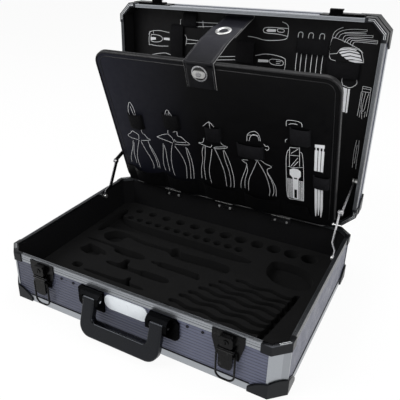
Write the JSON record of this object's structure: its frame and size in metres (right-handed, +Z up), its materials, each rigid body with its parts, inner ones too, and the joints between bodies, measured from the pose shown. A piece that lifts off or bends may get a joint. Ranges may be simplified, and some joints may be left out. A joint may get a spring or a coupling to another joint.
{
  "type": "hard tool case",
  "caption": "Hard-sided tool case with an aluminium frame, its lid open, with a foam tool inlay, a hinged tool board with pockets, a carrying handle and draw latches.",
  "frame": {"origin": "centre of the underside of the base, where the case stands", "axes": "+Z up, +X to the right along the case's width, -Y towards the front with the handle and latches"},
  "size_m": [0.4844, 0.4277, 0.4492],
  "materials": {
    "shell_panel": "satin",
    "frame_aluminium": "satin",
    "black_plastic": "matte",
    "dark_lining": "matte",
    "foam": "matte",
    "board_vinyl": "matte",
    "piping": "satin",
    "elastic": "matte",
    "bright_steel": "satin",
    "black_metal": "semi-gloss",
    "label_white": "gloss"
  },
  "bodies": {
    "base": {"base_floor": "shell_panel", "base_front_wall": "shell_panel", "base_back_wall": "shell_panel", "base_side_walls": "shell_panel", "base_corner_posts": "frame_aluminium", "base_rim": "frame_aluminium", "base_outer_edge": "frame_aluminium", "base_rim_caps": "black_plastic", "base_corner_guards": "black_plastic", "base_lining": "dark_lining", "base_stay_pivots": "bright_steel", "foam_bed": "foam", "foam_inlay": "foam", "lid_hinge_base_leaves": "bright_steel", "lid_hinge_pins": "bright_steel", "board_hinge_wall_leaves": "black_metal", "board_hinge_pins": "bright_steel", "hinge_rivets": "bright_steel", "handle_brackets": "black_plastic", "handle_pins": "bright_steel", "label_plate": "label_white", "front_rivets": "bright_steel", "latch_plates": "black_metal", "latch_pins": "bright_steel"},
    "lid": {"lid_top_panel": "shell_panel", "lid_front_wall": "shell_panel", "lid_back_wall": "shell_panel", "lid_side_walls": "shell_panel", "lid_corner_posts": "frame_aluminium", "lid_rim": "frame_aluminium", "lid_outer_edge": "frame_aluminium", "lid_rim_caps": "black_plastic", "lid_corner_guards": "black_plastic", "lid_lining": "dark_lining", "lid_hinge_lid_leaves": "bright_steel", "lid_tool_panel": "board_vinyl", "lid_bands": "elastic", "lid_strap": "elastic", "lid_stay_pivots": "bright_steel", "lid_catches": "black_metal"},
    "board": {"tool_board": "board_vinyl", "board_binding": "piping", "board_pockets": "board_vinyl", "board_loops": "elastic", "board_hinge_board_leaves": "black_metal", "board_strap": "elastic", "strap_eyelet": "bright_steel", "strap_lock_post": "bright_steel"},
    "turnlock": {"turnlock_knob": "bright_steel"},
    "right_lower_stay": {"right_lower_stay": "bright_steel"},
    "left_lower_stay": {"left_lower_stay": "bright_steel"},
    "right_upper_stay": {"right_upper_stay": "bright_steel"},
    "left_upper_stay": {"left_upper_stay": "bright_steel"},
    "handle": {"handle_grip": "black_plastic"},
    "right_lock": {"right_lock_cylinder": "bright_steel"},
    "left_lock": {"left_lock_cylinder": "bright_steel"},
    "right_lever": {"right_lever": "black_metal"},
    "left_lever": {"left_lever": "black_metal"},
    "right_bail": {"right_bail": "black_metal"},
    "left_bail": {"left_bail": "black_metal"}
  },
  "joints": [
    {"name": "lid_hinge", "type": "hinge", "parent": "base", "child": "lid", "pos_m": [0, 0.177, 0.0872], "axis": [1, 0, 0], "range_deg": [0, 90], "deforming": ["board_strap", "lid_strap", "strap_eyelet"]},
    {"name": "board_hinge", "type": "hinge", "parent": "base", "child": "board", "pos_m": [0, 0.1662, 0.088], "axis": [1, 0, 0], "range_deg": [0, 70.6]},
    {"name": "turnlock_turn", "type": "hinge", "parent": "board", "child": "turnlock", "pos_m": [-0.009, 0.06033, 0.35552], "axis": [0, -0.9432, -0.3322], "range_deg": [0, 90]},
    {"name": "right_lower_stay_pivot", "type": "hinge", "parent": "base", "child": "right_lower_stay", "pos_m": [0.2306, 0.084, 0.076], "axis": [1, 0, 0], "range_deg": [0, 98.1]},
    {"name": "right_upper_stay_pivot", "type": "hinge", "parent": "lid", "child": "right_upper_stay", "pos_m": [0.2268, 0.196, 0.169], "axis": [1, 0, 0], "range_deg": [-106, 0]},
    {"name": "left_lower_stay_pivot", "type": "hinge", "parent": "base", "child": "left_lower_stay", "pos_m": [-0.2306, 0.084, 0.076], "axis": [1, 0, 0], "range_deg": [0, 98.1]},
    {"name": "left_upper_stay_pivot", "type": "hinge", "parent": "lid", "child": "left_upper_stay", "pos_m": [-0.2268, 0.196, 0.169], "axis": [1, 0, 0], "range_deg": [-106, 0]},
    {"name": "handle_swing", "type": "hinge", "parent": "base", "child": "handle", "pos_m": [0, -0.184, 0.061], "axis": [-1, 0, 0], "range_deg": [0, 70]},
    {"name": "right_lever_swing", "type": "hinge", "parent": "base", "child": "right_lever", "pos_m": [0.1615, -0.1815, 0.061], "axis": [-1, 0, 0], "range_deg": [0, 110]},
    {"name": "right_bail_swing", "type": "hinge", "parent": "right_lever", "child": "right_bail", "pos_m": [0.1615, -0.1815, 0.053], "axis": [-1, 0, 0], "range_deg": [0, 70]},
    {"name": "right_lock_turn", "type": "hinge", "parent": "base", "child": "right_lock", "pos_m": [0.1615, -0.181, 0.07475], "axis": [0, -1, 0], "range_deg": [0, 90]},
    {"name": "left_lever_swing", "type": "hinge", "parent": "base", "child": "left_lever", "pos_m": [-0.1615, -0.1815, 0.061], "axis": [-1, 0, 0], "range_deg": [0, 110]},
    {"name": "left_bail_swing", "type": "hinge", "parent": "left_lever", "child": "left_bail", "pos_m": [-0.1615, -0.1815, 0.053], "axis": [-1, 0, 0], "range_deg": [0, 70]},
    {"name": "left_lock_turn", "type": "hinge", "parent": "base", "child": "left_lock", "pos_m": [-0.1615, -0.181, 0.07475], "axis": [0, -1, 0], "range_deg": [0, 90]}
  ],
  "couplings": [
    {"joint": "board_hinge", "follows": "lid_hinge", "ratio": 0.78444},
    {"joint": "right_lower_stay_pivot", "follows": "lid_hinge", "ratio": 1.09},
    {"joint": "right_upper_stay_pivot", "follows": "lid_hinge", "ratio": -1.1777},
    {"joint": "left_lower_stay_pivot", "follows": "lid_hinge", "ratio": 1.09},
    {"joint": "left_upper_stay_pivot", "follows": "lid_hinge", "ratio": -1.1777}
  ]
}
